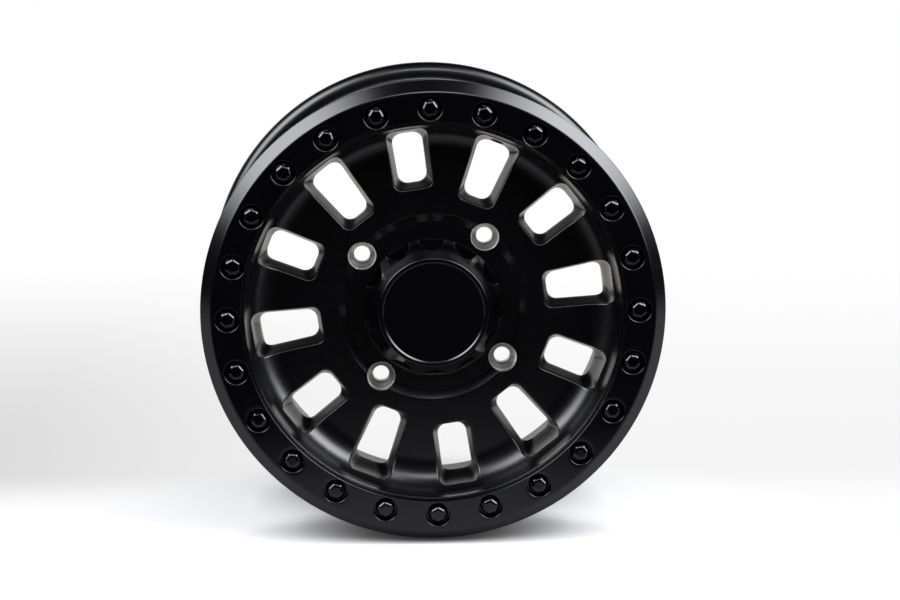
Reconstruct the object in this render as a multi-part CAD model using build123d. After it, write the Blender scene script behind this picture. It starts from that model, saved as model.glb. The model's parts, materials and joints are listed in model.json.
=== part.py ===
"""Beadlock wheel for a side-by-side off-road vehicle, 15 x 7 in, 4 x 156 mm bolt pattern.

A one-piece cast wheel carries a clamp ring on its open front rim. Twenty-four flange bolts pull the
ring down on the tyre's outer bead. A fluted cap snaps into the hub. The wheel's axis is Y, its face
looks towards -Y, +Z is up, and the origin is the centre of the hub's mounting face.
"""
import os
from math import cos, radians, sin, tan
from build123d import *

# Rim: standard 15 x 7 in sizes, with the mounting face 2 in behind the front bead plane
rim_width = 177.8
front_space = 50.8
bead_seat_r = 190.1
bead_seat_taper = 5.0
bead_seat_length = 21.0
flange_height = 17.9
rear_flange_t = 15.2
rear_flange_curl = 10.0
rear_lip_width = 12.0
flare_length = 12.0
hump_width = 11.0
hump_height = 1.4
barrel_wall = 6.8
well_depth = 26.6
well_back = 24.0
well_ramp = 32.0
front_shelf = 19.0
front_rim_t = 24.3
shoulder_height = 7.0
shoulder_t = 5.0
front_ramp = 11.3

# Face: flat spokes that rise through a wide fillet to the front rim
face_depth = 28.0
dish_fillet = 26.5
dish_wall_draft = 8.0

# Turn of the whole wheel about its axis, as it stands: the first long window's angle above +X
wheel_turn = 8.6

# Windows: twelve tapered openings, long and short by turns, measured on the face
window_pairs = 6
window_margin = 5.1
long_window_inner_r = 99.5
long_window_outer_w = 40.6
long_window_inner_w = 32.6
short_window_inner_r = 107.0
short_window_outer_w = 36.6
short_window_inner_w = 34.6
window_corner_r = 7.0
window_draft = 13.2

# Hollows behind the spokes and between the lug holes, which keep the casting's walls even
spoke_pocket_inner_r = 110.0
spoke_pocket_margin = 10.7
spoke_pocket_inner_w = 12.0
spoke_pocket_outer_w = 27.0
spoke_pocket_depth = 11.0
pad_pocket_inner_r = 71.5
pad_pocket_outer_r = 88.0
pad_pocket_angle = 46.0
pad_pocket_depth = 6.0
pocket_draft = 5.0

# Hub
lug_count = 4
lug_pcd = 156.0
lug_hole_r = 7.25
lug_seat_r = 12.6
lug_seat_angle = 60.0
hub_bore_r = 66.0
hub_bore_depth = 10.0
cap_bore_r = 54.0
cap_bore_length = 4.0
cap_relief_r = 58.0
hub_pad_r = 96.0
hub_pad_height = 2.0
hub_recess = 4.5
hub_recess_floor_r = 77.2
hub_recess_rim_r = 84.2

# Valve hole through the outer wall of one long window, with a flat spot on the tyre's side
valve_hole_r = 5.75
valve_spot_r = 7.5
valve_wall = 4.5
valve_before_web = 7.0

# Clamp ring
ring_t = 10.5
ring_overhang = 14.1
ring_bevel_r = 10.2
ring_bevel_t = 8.7
ring_lip = 0.4
ring_step = 1.0
ring_inner_bevel_r = 2.4
ring_inner_bevel_t = 4.0

# Ring bolts: M8 x 25 hexagon flange bolts, sunk in counterbores
bolt_count = 24
bolt_inset = 9.85
bolt_r = 4.0
bolt_length = 25.0
bolt_hole_r = 4.5
bolt_flange_r = 8.95
bolt_flange_t = 1.8
bolt_across_flats = 12.0
bolt_head_height = 6.6
bolt_stop_turn = 23.0
counterbore_r = 10.5
counterbore_depth = 6.0
thread_clearance = 0.05
thread_spare = 3.0

# Centre cap: a fluted moulding with snap legs
cap_turn = 1.0
cap_height = 32.2
cap_flange_r = 61.8
cap_flange_t = 5.0
cap_disc_r = 48.7
cap_disc_t = 2.0
cap_dish_r = 44.0
cap_dish_depth = 1.2
cap_wall = 3.0
flute_count = 12
flute_r = 13.0
flute_inner_r = 53.6
flute_floor_t = 4.4
cap_leg_count = 8
cap_leg_gap = 0.3
cap_leg_t = 2.4
cap_leg_slot = 16.0
cap_barb = 1.6
cap_barb_length = 3.4

# Places along Y that the pieces share
front_plane = -front_space
rear_plane = front_plane + rim_width
rear_end = rear_plane + rear_flange_t
ring_face = front_plane - ring_t
face_y = front_plane + face_depth
floor_y = face_y + hub_recess
web_back = -hub_pad_height
bolt_seat_y = ring_face + counterbore_depth
cap_hook_y = floor_y + cap_bore_length
cap_top = floor_y - cap_height

# Radii that the pieces share, all taken from the bead seat
rear_flange_r = bead_seat_r + flange_height
well_r = bead_seat_r - well_depth
well_inner_r = well_r - barrel_wall
dish_wall_r = bead_seat_r - front_rim_t
window_outer_r = dish_wall_r - window_margin
spoke_pocket_outer_r = well_inner_r - spoke_pocket_margin
ring_outer_r = bead_seat_r + ring_overhang
ring_bore_r = dish_wall_r - ring_lip
bolt_circle_r = bead_seat_r - bolt_inset


def turned(angle):
    """Placement that turns a piece about the wheel's axis, seen from the front, from +X towards +Z."""
    return Rot(0, -angle, 0)


def about_axis(*lines):
    """Solid of revolution about the wheel's axis from a closed outline in (radius, y)."""
    return revolve(make_face(lines), Axis.Y)


def across(y):
    """Plane across the axis at y, with local x along +X and local z towards the rear."""
    return Plane(origin=(0, y, 0), x_dir=(1, 0, 0), z_dir=(0, 1, 0))


def trapezoid(inner_r, outer_r, inner_w, outer_w):
    """Trapezoid that lies along local x, from one radius to another."""
    return make_face(Polyline(
        (inner_r, -inner_w / 2), (outer_r, -outer_w / 2), (outer_r, outer_w / 2), (inner_r, inner_w / 2),
        close=True,
    ))


# Casting: the barrel, face and hub are one turned outline, drawn from the dish round to the hub
ledge_r = bead_seat_r - tan(radians(bead_seat_taper)) * bead_seat_length
ledge_inner_r = ledge_r - barrel_wall
hump_start = rear_plane - bead_seat_length - hump_width
hump_end = rear_plane - bead_seat_length
shelf_end = front_plane + front_shelf
shoulder_r = bead_seat_r + shoulder_height
curl_r = rear_flange_r - rear_flange_curl
# The dish fillet is tangent to the flat face and to the drafted wall under the ring
wall_tilt = radians(90 - dish_wall_draft)
fillet_rise = dish_fillet * (1 - cos(wall_tilt))
wall_foot_r = dish_wall_r - tan(radians(dish_wall_draft)) * (face_depth - fillet_rise)
fillet_start_r = wall_foot_r - dish_fillet * sin(wall_tilt)

dish_edge = (wall_foot_r, face_y - fillet_rise)
shoulder_back = (shoulder_r, shelf_end + shoulder_t)
well_front = (well_r, shelf_end + shoulder_t + front_ramp)
ledge_front = (ledge_r, well_back + well_ramp)
hump_foot = (ledge_r, hump_start)
hump_top = (ledge_r + hump_height, (hump_start + hump_end) / 2)
seat_foot = (ledge_r, hump_end)
curl_start = (curl_r, rear_plane)
curl_end = (rear_flange_r, rear_plane + rear_flange_curl)
rear_lip = (rear_flange_r - rear_lip_width, rear_end)
pad_edge = (hub_pad_r + hub_pad_height, web_back)

casting = about_axis(
    Polyline(dish_edge, (dish_wall_r, front_plane), (bead_seat_r, front_plane), (bead_seat_r, shelf_end),
             (shoulder_r, shelf_end), shoulder_back, well_front, (well_r, well_back), ledge_front, hump_foot,
             hump_top, seat_foot, (bead_seat_r, rear_plane), curl_start),
    RadiusArc(curl_start, curl_end, -rear_flange_curl),
    Polyline(curl_end, (rear_flange_r, rear_end), rear_lip, (ledge_inner_r, rear_plane - flare_length),
             (ledge_inner_r, well_back + well_ramp + barrel_wall), (well_inner_r, well_back),
             (well_inner_r, web_back), pad_edge, (hub_pad_r, 0), (hub_bore_r, 0),
             (hub_bore_r, -hub_bore_depth), (cap_relief_r, -hub_bore_depth), (cap_relief_r, cap_hook_y),
             (cap_bore_r, cap_hook_y), (cap_bore_r, floor_y), (hub_recess_floor_r, floor_y),
             (hub_recess_rim_r, face_y), (fillet_start_r, face_y)),
    RadiusArc((fillet_start_r, face_y), dish_edge, dish_fillet),
)


def window(inner_r, inner_w, outer_w):
    """Cutter for one window: straight in front of the face, then drafted back to the mounting plane."""
    inset = tan(radians(window_draft)) * -face_y
    wide = trapezoid(inner_r, window_outer_r, inner_w, outer_w)
    narrow = trapezoid(inner_r + inset, window_outer_r - inset, inner_w - 2 * inset, outer_w - 2 * inset)
    front = across(face_y) * fillet(wide.vertices(), window_corner_r)
    back = across(0) * fillet(narrow.vertices(), window_corner_r)
    return extrude(front, front_plane - face_y) + loft([front, back], ruled=True)


window_pitch = 180 / window_pairs
long_window = window(long_window_inner_r, long_window_inner_w, long_window_outer_w)
short_window = window(short_window_inner_r, short_window_inner_w, short_window_outer_w)
for pair in range(window_pairs):
    long_angle = wheel_turn + 2 * pair * window_pitch
    casting -= turned(long_angle) * long_window
    casting -= turned(long_angle + window_pitch) * short_window

spoke_outline = trapezoid(
    spoke_pocket_inner_r, spoke_pocket_outer_r, spoke_pocket_inner_w, spoke_pocket_outer_w,
)
spoke_pocket = extrude(across(web_back) * spoke_outline, -spoke_pocket_depth, taper=pocket_draft)
for spoke in range(2 * window_pairs):
    casting -= turned(wheel_turn + (spoke + 0.5) * window_pitch) * spoke_pocket

# Lug holes with conical seats, and the hollows between them in the mounting pad
lug_pitch = 360 / lug_count
seat_depth = (lug_seat_r - lug_hole_r) / tan(radians(lug_seat_angle / 2))
lug_cutter = about_axis(Polyline(
    (0, face_y), (lug_seat_r, face_y), (lug_seat_r, floor_y), (lug_hole_r, floor_y + seat_depth),
    (lug_hole_r, hub_pad_height), (0, hub_pad_height), close=True,
))
pad_mid_r = (pad_pocket_inner_r + pad_pocket_outer_r) / 2
pad_arc = CenterArc((0, 0), pad_mid_r, -pad_pocket_angle / 2, pad_pocket_angle)
pad_outline = trace(pad_arc, pad_pocket_outer_r - pad_pocket_inner_r)
pad_pocket = extrude(across(0) * pad_outline, -pad_pocket_depth)
for lug in range(lug_count):
    lug_angle = wheel_turn + (lug + 0.5) * lug_pitch
    casting -= turned(lug_angle) * Pos(lug_pcd / 2, 0, 0) * lug_cutter
    casting -= turned(lug_angle + lug_pitch / 2) * pad_pocket

# Blind tapped holes for the ring bolts
bolt_pitch = 360 / bolt_count
bolt_places = []
for bolt in range(bolt_count):
    bolt_places.append(turned(wheel_turn + (bolt + 0.5) * bolt_pitch) * Pos(bolt_circle_r, bolt_seat_y, 0))
thread_r = bolt_r + thread_clearance
thread_end = bolt_length + thread_spare
thread_hole = extrude(across(0) * Circle(thread_r), thread_end)
casting -= [place * thread_hole for place in bolt_places]

# The valve hole stands square to the drafted wall, in the middle of the second long window
wall_draft = radians(window_draft)
valve_y = web_back - valve_before_web
valve_foot_r = window_outer_r - tan(wall_draft) * (valve_y - face_y)
valve_plane = Plane(origin=(valve_foot_r, valve_y, 0), x_dir=(0, 0, 1),
                    z_dir=(cos(wall_draft), sin(wall_draft), 0))
valve_bore = extrude(valve_plane * Circle(valve_hole_r), valve_wall, both=True)
valve_spot = extrude(valve_plane.offset(valve_wall) * Circle(valve_spot_r), barrel_wall)
casting -= turned(wheel_turn + 2 * window_pitch) * (valve_bore + valve_spot)

# Clamp ring: bevelled outside, with a small step inside, and a counterbore for every bolt
ring_inner_r = ring_bore_r + ring_step + ring_inner_bevel_r
ring = about_axis(Polyline(
    (ring_inner_r, ring_face), (ring_outer_r - ring_bevel_r, ring_face),
    (ring_outer_r, ring_face + ring_bevel_t), (ring_outer_r, front_plane), (ring_bore_r, front_plane),
    (ring_bore_r, ring_face + ring_inner_bevel_t), (ring_bore_r + ring_step, ring_face + ring_inner_bevel_t),
    close=True,
))
bolt_sink = about_axis(Polyline(
    (0, -counterbore_depth), (counterbore_r, -counterbore_depth), (counterbore_r, 0), (bolt_hole_r, 0),
    (bolt_hole_r, ring_t), (0, ring_t), close=True,
))
ring -= [place * bolt_sink for place in bolt_places]

# Ring bolts: a hexagon on a round flange, and a plain shank
hexagon = extrude(across(-bolt_head_height) * RegularPolygon(bolt_across_flats / 2, 6, major_radius=False),
                  bolt_head_height)
flange_and_shank = about_axis(Polyline(
    (0, -bolt_flange_t), (bolt_flange_r, -bolt_flange_t), (bolt_flange_r, 0), (bolt_r, 0),
    (bolt_r, bolt_length), (0, bolt_length), close=True,
))
ring_bolt = hexagon + flange_and_shank
# Each tightened bolt stops at a different turn of its hexagon
bolts = [place * Rot(0, n * bolt_stop_turn, 0) * ring_bolt for n, place in enumerate(bolt_places)]

# Centre cap: a hollow cone with scooped flutes, a rimmed disc on top and barbed legs in the hub
disc_y = cap_top + cap_disc_t
flange_top = floor_y - cap_flange_t
cavity_r = flute_inner_r - cap_wall
cavity_top_r = cap_disc_r - cap_wall
leg_r = cap_bore_r - cap_leg_gap
leg_inner_r = leg_r - cap_leg_t
barb_front = cap_hook_y + cap_leg_gap
barb_end = barb_front + cap_barb_length
cap = about_axis(
    Polyline((0, cap_top + cap_dish_depth + cap_wall), (cavity_top_r, cap_top + cap_dish_depth + cap_wall),
             (cavity_r, floor_y), (cap_flange_r, floor_y), (cap_flange_r, flange_top), (cap_disc_r, disc_y)),
    Polyline((cap_disc_r, disc_y), (cap_disc_r, cap_top), (cap_dish_r + cap_dish_depth, cap_top),
             (cap_dish_r, cap_top + cap_dish_depth), (0, cap_top + cap_dish_depth),
             (0, cap_top + cap_dish_depth + cap_wall)),
)
flute_floor = floor_y - flute_floor_t
flute = extrude(across(flute_floor) * Pos(flute_inner_r + flute_r, 0) * Circle(flute_r), -cap_height)
for n in range(flute_count):
    cap -= turned(cap_turn + n * 360 / flute_count) * flute
legs = about_axis(Polyline(
    (leg_inner_r, floor_y), (leg_r, floor_y), (leg_r, barb_front), (leg_r + cap_barb, barb_front),
    (leg_r + cap_barb, barb_front + cap_barb_length / 3), (leg_r, barb_end), (leg_inner_r, barb_end),
    close=True,
))
leg_slot = Pos(leg_r, (floor_y + barb_end) / 2, 0) * Box(cap_leg_slot, barb_end - floor_y, cap_leg_slot)
for n in range(cap_leg_count):
    legs -= turned(cap_turn + n * 360 / cap_leg_count) * leg_slot
cap += legs

os.makedirs("parts", exist_ok=True)
export_step(casting, "parts/wheel_casting.step")
export_step(ring, "parts/beadlock_ring.step")
export_step(Compound(children=bolts), "parts/ring_bolts.step")
export_step(cap, "parts/centre_cap.step")
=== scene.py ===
"""Looks of a beadlock wheel: a black cast wheel, its bolted clamp ring, flange bolts and fluted centre cap.

Sizes are in millimetres until a mesh is made, and in metres in the studio. The wheel's axis is Y, its face
looks towards -Y, and angles are measured about the axis, as the face is seen, from +X towards +Z.
"""
import json
from cmath import phase, rect
from math import acos, atan2, ceil, cos, hypot, inf, pi, radians, sin, sqrt, tan

import bmesh
import bpy
from mathutils import Matrix, Vector


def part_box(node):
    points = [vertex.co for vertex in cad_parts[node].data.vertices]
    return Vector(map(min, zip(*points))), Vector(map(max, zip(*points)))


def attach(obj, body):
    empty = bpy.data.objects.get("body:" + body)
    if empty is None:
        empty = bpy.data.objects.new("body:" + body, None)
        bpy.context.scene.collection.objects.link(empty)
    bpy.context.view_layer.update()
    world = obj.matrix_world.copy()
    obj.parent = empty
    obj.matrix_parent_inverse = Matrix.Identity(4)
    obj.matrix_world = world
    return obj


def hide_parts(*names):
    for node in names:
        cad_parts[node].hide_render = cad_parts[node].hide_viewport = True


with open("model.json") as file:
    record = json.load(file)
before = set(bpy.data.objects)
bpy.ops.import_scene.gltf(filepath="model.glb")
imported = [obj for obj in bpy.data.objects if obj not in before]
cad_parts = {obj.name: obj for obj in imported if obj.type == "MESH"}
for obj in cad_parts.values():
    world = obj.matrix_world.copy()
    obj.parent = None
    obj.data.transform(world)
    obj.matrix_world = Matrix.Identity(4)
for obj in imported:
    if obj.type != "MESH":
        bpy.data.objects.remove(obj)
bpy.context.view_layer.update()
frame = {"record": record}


# Wheel casting
# One aluminium casting makes the barrel, the dished face and the hub. Its twelve windows narrow towards the
# back, so the mould drew out at the front. It is powder-coated black, and then its lug seats are machined.
mm = 0.001
round_steps = 216
step_angle = 2 * pi / round_steps
wheel_turn = radians(8.6)

casting_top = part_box("wheel_casting")[1]
front_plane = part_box("beadlock_ring")[1][1] / mm
rear_end = casting_top[1] / mm
rear_flange_r = casting_top[0] / mm
mounts = {mount["name"]: mount for mount in frame["record"]["mounts"]}

dish_depth = 28
face_y = front_plane + dish_depth
web_back = -2
dish_bend_r = 26.5
dish_wall_r = 165.8
dish_draft = radians(8)
back_bend_r = 4
well_inner_r = 156.7
barrel_wall = 6.8

window_outer_r = 160.7
long_window = {"inner_r": 99.5, "inner_w": 32.6, "outer_w": 40.6}
short_window = {"inner_r": 107, "inner_w": 34.6, "outer_w": 36.6}
window_corner_r = 7
window_back_corner_r = 9
window_depth = -face_y
window_draft = radians(13.2)
window_rim_r = 1.3
window_pitch = radians(30)
side_steps = 28
end_steps = 18
corner_steps = 4


class BentWeb:
    """A flat web that bends through an arc into a straight wall.

    A place on it is a complex number: the length out from the axis, over the surface, and the angle.
    """

    def __init__(self, bend_start, level, bend_r, turn, rise):
        self.bend_start = bend_start
        self.level = level
        self.bend_r = bend_r
        self.turn = turn
        self.rise = rise

    def y_at(self, radius):
        """Level of the web and its bend at a radius, past every level where the radius is in the wall."""
        out = max(radius - self.bend_start, 0)
        if out >= self.bend_r:
            return self.rise * inf
        return self.level + self.rise * (self.bend_r - sqrt(self.bend_r ** 2 - out ** 2))

    def chart(self, radius, y, angle):
        """Place on the surface of a point that lies on it."""
        height = abs(y - self.level)
        tilt = atan2(radius - self.bend_start, self.bend_r - height)
        if radius <= self.bend_start:
            length = radius
        elif tilt < self.turn:
            length = self.bend_start + self.bend_r * tilt
        else:
            wall_height = height - self.bend_r * (1 - cos(self.turn))
            length = self.bend_start + self.bend_r * self.turn + wall_height / sin(self.turn)
        return complex(length, angle)

    def section(self, length):
        """Radius and y, as a complex number, at a length out from the axis."""
        along = min(max(length - self.bend_start, 0), self.bend_r * self.turn)
        past = max(length - self.bend_start - self.bend_r * self.turn, 0)
        tilt = along / self.bend_r
        radius = min(length, self.bend_start) + self.bend_r * sin(tilt) + past * cos(self.turn)
        height = self.bend_r * (1 - cos(tilt)) + past * sin(self.turn)
        return complex(radius, self.level + self.rise * height)

    def point(self, place):
        """Point in space of a place on the surface."""
        return swung(self.section(place.real), place.imag)

    def spread(self, loop, distances):
        """The loop of places moved outwards over the surface, each by its own distance."""
        moved = []
        for i, place in enumerate(loop):
            radius = self.section(place.real).real
            along = loop[(i + 1) % len(loop)] - loop[i - 1]
            along = complex(along.real, along.imag * radius)
            out = -1j * along / abs(along) * distances[i]
            moved.append(place + complex(out.real, out.imag / radius))
        return moved


def swung(section, angle):
    """Point of an outline in (radius, y) at an angle about the axis."""
    return Vector((section.real * cos(angle), section.imag, section.real * sin(angle)))


def lifted(plan, y):
    """Point at a level y over a place on the plan, which is seen along the axis with +X across and +Z up."""
    return Vector((plan.real, y, plan.imag))


def between(start, end, count):
    """Even steps from the start up to, but not with, the end."""
    return [start + (end - start) * i / count for i in range(count)]


def through(start, end, count):
    """Even steps from the start to the end, with both of them."""
    return between(start, end, count) + [end]


def corner_arc(before, corner, after, radius):
    """Arc that rounds a corner, as its centre, its first point from there, and its sweep."""
    back = (before - corner) / abs(before - corner)
    ahead = (after - corner) / abs(after - corner)
    half = abs(phase(ahead / back)) / 2
    centre = corner + (back + ahead) / abs(back + ahead) * radius / sin(half)
    first = corner + back * radius / tan(half) - centre
    last = corner + ahead * radius / tan(half) - centre
    return centre, first, phase(last / first)


def arc_point(arc, share):
    """Point at a share of the way along an arc."""
    centre, first, sweep = arc
    return centre + first * rect(1, sweep * share)


def rounded_loop(corners, radius, counts, steps):
    """Closed outline with rounded corners, from the middle of the first corner.

    Each side runs from corner middle to corner middle in its own count of steps.
    """
    number = len(corners)
    arcs = [corner_arc(corners[i - 1], corners[i], corners[(i + 1) % number], radius) for i in range(number)]
    loop = []
    for i, count in enumerate(counts):
        leave = arcs[i]
        reach = arcs[(i + 1) % number]
        loop += [arc_point(leave, share) for share in between(0.5, 1, steps)]
        loop += between(arc_point(leave, 1), arc_point(reach, 0), count - 2 * steps)
        loop += [arc_point(reach, share) for share in between(0, 0.5, steps)]
    return loop


def rounded_path(points, radii, margin):
    """Open outline with its inner corners rounded.

    Each straight has a point at a margin from either end, so that its shading stays flat.
    """
    arc_step = radians(22)
    bends = [points[:1]]
    for before, corner, after, radius in zip(points, points[1:], points[2:], radii):
        if radius:
            arc = corner_arc(before, corner, after, radius)
            count = max(2, ceil(abs(arc[2]) / arc_step))
            bends.append([arc_point(arc, i / count) for i in range(count + 1)])
        else:
            bends.append([corner])
    bends.append(points[-1:])
    path = list(bends[0])
    for leave, reach in zip(bends, bends[1:]):
        straight = reach[0] - leave[-1]
        inset = min(margin / abs(straight), 1 / 3)
        path += [leave[-1] + straight * inset, reach[0] - straight * inset]
        path += reach
    return path


def round_edge(surface, edge, wall, steps):
    """Points of an arc from the surface to the wall, tangent to both, round the edge between them."""
    weight = sin((surface - edge).angle(wall - edge) / 2)
    points = []
    for i in range(steps + 1):
        share = i / steps
        from_surface = (1 - share) ** 2
        from_edge = 2 * share * (1 - share) * weight
        from_wall = share ** 2
        total = from_surface + from_edge + from_wall
        points.append((surface * from_surface + edge * from_edge + wall * from_wall) / total)
    return points


def skin(bm, rows, closed=False):
    """Quads between rows of points of one length; a closed row joins its last point to its first."""
    grid = [[bm.verts.new(point * mm) for point in row] for row in rows]
    count = len(rows[0])
    for lower, upper in zip(grid, grid[1:]):
        for i in range(count if closed else count - 1):
            j = (i + 1) % count
            bm.faces.new((lower[i], lower[j], upper[j], upper[i]))


def swing(bm, outline, angles):
    """Part of a turned surface: an outline in (radius, y) at each of the angles."""
    skin(bm, [[swung(section, angle) for angle in angles] for section in outline])


def turned_rows(rows, angle):
    """Rows of points turned about the axis."""
    turn = Matrix.Rotation(-angle, 3, "Y")
    return [[turn @ point for point in row] for row in rows]


def sector_border(side, steps):
    """Closed border of a sector: its first side, its outer end, the mirrored side and its inner end."""
    mirrored = [place.conjugate() for place in reversed(side)]
    border = side[:-1] + between(side[-1], mirrored[0], steps)
    return border + mirrored[:-1] + between(mirrored[-1], side[0], steps)


def blended(outer, inner, steps):
    """Loops of places from one loop up to, but not with, another."""
    return [[a + (b - a) * i / steps for a, b in zip(outer, inner)] for i in range(steps)]


def trapezoid(inner, outer, inner_half, outer_half):
    """Corners of a trapezoid along the real axis, from the inner end to the outer end and back."""
    return [complex(inner, -inner_half), complex(outer, -outer_half),
            complex(outer, outer_half), complex(inner, inner_half)]


dish_turn = pi / 2 - dish_draft
dish_rise = dish_bend_r * (1 - cos(dish_turn))
wall_foot_r = dish_wall_r - tan(dish_draft) * (face_y - front_plane - dish_rise)
dish_start_r = wall_foot_r - dish_bend_r * sin(dish_turn)
front_web = BentWeb(dish_start_r, face_y, dish_bend_r, dish_turn, -1)
back_web = BentWeb(well_inner_r - back_bend_r, web_back, back_bend_r, pi / 2, 1)

# A window's sector begins on the flat of the web and ends a little way up the dish's and the well's walls
front_inner = 93
front_rise = 3
front_outer = dish_start_r + dish_bend_r * dish_turn + front_rise
back_inner = 99
back_rise = 12
back_outer = back_web.bend_start + back_bend_r * pi / 2 + back_rise

# The hollow behind each spoke: a drafted trapezoid whose rim and floor are rounded
pocket_inner_r = 110
pocket_outer_r = 146
pocket_inner_w = 12
pocket_outer_w = 27
pocket_depth = 11
pocket_draft = radians(5)
pocket_rim_w = 2.5
pocket_rim_r = 1.5
pocket_floor_w = 5
pocket_floor_r = 2.5
pocket_corner_r = 4
pocket_least_r = 1
pocket_side_steps = 12
pocket_end_steps = 8
pocket_section = rounded_path(
    [complex(pocket_rim_w, 0), complex(0, 0), complex(-tan(pocket_draft) * pocket_depth, pocket_depth),
     complex(-pocket_floor_w, pocket_depth)], [pocket_rim_r, pocket_floor_r], margin=0.5)


def pocket_loop(offset):
    """Outline of a spoke's hollow, moved outwards by an offset, with the spoke along the real axis."""
    corners = trapezoid(pocket_inner_r - offset, pocket_outer_r + offset,
                        pocket_inner_w / 2 + offset, pocket_outer_w / 2 + offset)
    counts = [pocket_side_steps, pocket_end_steps, pocket_side_steps, pocket_end_steps]
    corner_r = max(pocket_corner_r + offset, pocket_least_r)
    return rounded_loop(corners, corner_r, counts, steps=2)


def half_pocket(offset):
    """Half of that outline, from its inner end to its outer end, on the side of positive angles."""
    loop = pocket_loop(offset)
    outer_end = pocket_side_steps + pocket_end_steps // 2
    inner_end = 2 * pocket_side_steps + pocket_end_steps + pocket_end_steps // 2
    return loop[inner_end:outer_end - 1:-1]


def window_outline(window, depth):
    """Outline of a window on the plan, at a depth behind the face."""
    inset = tan(window_draft) * depth
    corners = trapezoid(window["inner_r"] + inset, window_outer_r - inset,
                        window["inner_w"] / 2 - inset, window["outer_w"] / 2 - inset)
    corner_r = window_corner_r + (window_back_corner_r - window_corner_r) * depth / window_depth
    return rounded_loop(corners, corner_r, [side_steps, end_steps, side_steps, end_steps], corner_steps)


def window_rows(window):
    """Rows of points from a window sector's front border, down the window's wall, to its back border."""
    front_plan = window_outline(window, 0)
    back_plan = window_outline(window, window_depth)
    places = range(len(front_plan))
    feeler = 0.05
    finest = 1e-6
    rim_steps = 4
    support_widths = (2.4, 1.0)
    wall_steps = 4
    front_steps = 6
    back_steps = 5
    inner_steps = 4

    def wall(i, y):
        """Point of the window's wall at a level."""
        share = max(y - face_y, 0) / window_depth
        return lifted(front_plan[i] + (back_plan[i] - front_plan[i]) * share, y)

    def back_level(i):
        """Level where the window's wall comes out behind the web, found by halving."""
        low = face_y
        high = web_back + 3 * back_bend_r
        while high - low > finest:
            middle = (low + high) / 2
            point = wall(i, middle)
            if middle < back_web.y_at(hypot(point.x, point.z)):
                low = middle
            else:
                high = middle
        return high

    def rim(web, levels, inward):
        """Loops of places beside the window's rounded rim, the rim's rows of points and its wall levels."""
        edges = [wall(i, levels[i]) for i in places]
        charted = [web.chart(hypot(edge.x, edge.z), edge.y, atan2(edge.z, edge.x)) for edge in edges]
        felt = web.spread(charted, [feeler] * len(charted))
        reach = []
        for i in places:
            away = web.point(felt[i]) - edges[i]
            down = wall(i, levels[i] + inward * feeler) - edges[i]
            reach.append(window_rim_r / tan(away.angle(down) / 2))
        leaving = web.spread(charted, reach)
        wall_levels = [levels[i] + inward * reach[i] for i in places]
        arcs = [round_edge(web.point(leaving[i]), edges[i], wall(i, wall_levels[i]), rim_steps)
                for i in places]
        supports = [web.spread(charted, [length + width for length in reach]) for width in support_widths]
        return supports, [list(row) for row in zip(*arcs)], wall_levels

    front_levels = [front_web.y_at(abs(plan)) for plan in front_plan]
    front_supports, front_rim, front_wall = rim(front_web, front_levels, 1)
    back_supports, back_rim, back_wall = rim(back_web, [back_level(i) for i in places], -1)

    half_sector = window_pitch / 2
    front_side = [complex(length, -half_sector) for length in through(front_inner, front_outer, side_steps)]
    pocket_side = [complex(abs(plan), phase(plan) - half_sector)
                   for plan in half_pocket(pocket_section[0].real)]
    outer_steps = side_steps - inner_steps - len(pocket_side) + 1
    back_side = between(complex(back_inner, -half_sector), pocket_side[0], inner_steps) + pocket_side[:-1]
    back_side += through(pocket_side[-1], complex(back_outer, -half_sector), outer_steps)

    front_border = sector_border(front_side, end_steps)
    back_border = sector_border(back_side, end_steps)
    front_loops = blended(front_border, front_supports[0], front_steps) + front_supports
    back_loops = blended(back_border, back_supports[0], back_steps) + back_supports
    rows = [[front_web.point(place) for place in loop] for loop in front_loops]
    rows += front_rim
    for k in range(1, wall_steps):
        levels = [front + (back - front) * k / wall_steps for front, back in zip(front_wall, back_wall)]
        rows.append([wall(i, levels[i]) for i in places])
    rows += reversed(back_rim)
    rows += [[back_web.point(place) for place in loop] for loop in reversed(back_loops)]
    return rows


# The tapped holes for the ring's bolts, each in its own sector of the front rim
bolt_count = 24
bolt_circle_r = 180.25
bolt_pitch = 2 * pi / bolt_count
bolt_side_steps = 11
bolt_end_steps = 9
thread_r = 4.05
thread_land = 1.2
thread_break = 0.5
thread_end = front_plane + 23.5
bolt_zone_inner_r = 168.5
bolt_zone_outer_r = 187.5


def bolt_border(inner_r, outer_r):
    """Border of one bolt's sector on a flat face, as places on the plan."""
    side = through(inner_r, outer_r, bolt_side_steps)
    border = sector_border([complex(radius, -bolt_pitch / 2) for radius in side], bolt_end_steps)
    return [rect(place.real, place.imag) for place in border]


def bolt_ring(radius):
    """Circle round a bolt's centre on the plan, with a point for each one of its sector's border."""
    angles = []
    corner = 1.25 * pi
    for count in (bolt_side_steps, bolt_end_steps, bolt_side_steps, bolt_end_steps):
        angles += between(corner, corner + pi / 2, count)
        corner += pi / 2
    return [bolt_circle_r + rect(radius, angle) for angle in angles]


def bolt_rows(plan_loops):
    """Rows of points of loops on the plan, each with its level."""
    return [[lifted(plan, y) for plan in loop] for loop, y in plan_loops]


thread_border = bolt_border(bolt_zone_inner_r, bolt_zone_outer_r)
thread_mouth = bolt_ring(thread_r + thread_land)
thread_loops = [(loop, front_plane) for loop in blended(thread_border, thread_mouth, steps=2)]
thread_loops += [(thread_mouth, front_plane), (bolt_ring(thread_r + thread_break), front_plane),
                 (bolt_ring(thread_r), front_plane + thread_break), (bolt_ring(thread_r), thread_end),
                 (bolt_ring(0), thread_end)]

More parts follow.
